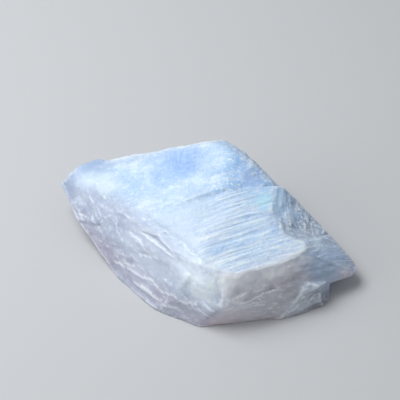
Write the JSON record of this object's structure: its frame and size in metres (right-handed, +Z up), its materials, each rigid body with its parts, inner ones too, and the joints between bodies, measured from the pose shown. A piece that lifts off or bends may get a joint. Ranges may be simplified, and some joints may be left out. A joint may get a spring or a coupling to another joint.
{
  "type": "rough moonstone",
  "caption": "Rough diamond-shaped chunk of milky blue-white moonstone, with a striped cleavage face and a chipped front, resting on its flat underside.",
  "frame": {"origin": "middle of the stone's box in plan, on the plane that it rests on", "axes": "+Z up, square to the flat underside; +X along the long diagonal, from the blunt tip to the pointed tip; +Y towards the back, away from the chipped front"},
  "size_m": [0.083, 0.0492, 0.0222],
  "materials": {
    "stone": "milky, faintly see-through, silky on the cleavage faces, with blue patches of sheen"
  },
  "bodies": {
    "root": {"moonstone": "stone"}
  },
  "joints": []
}
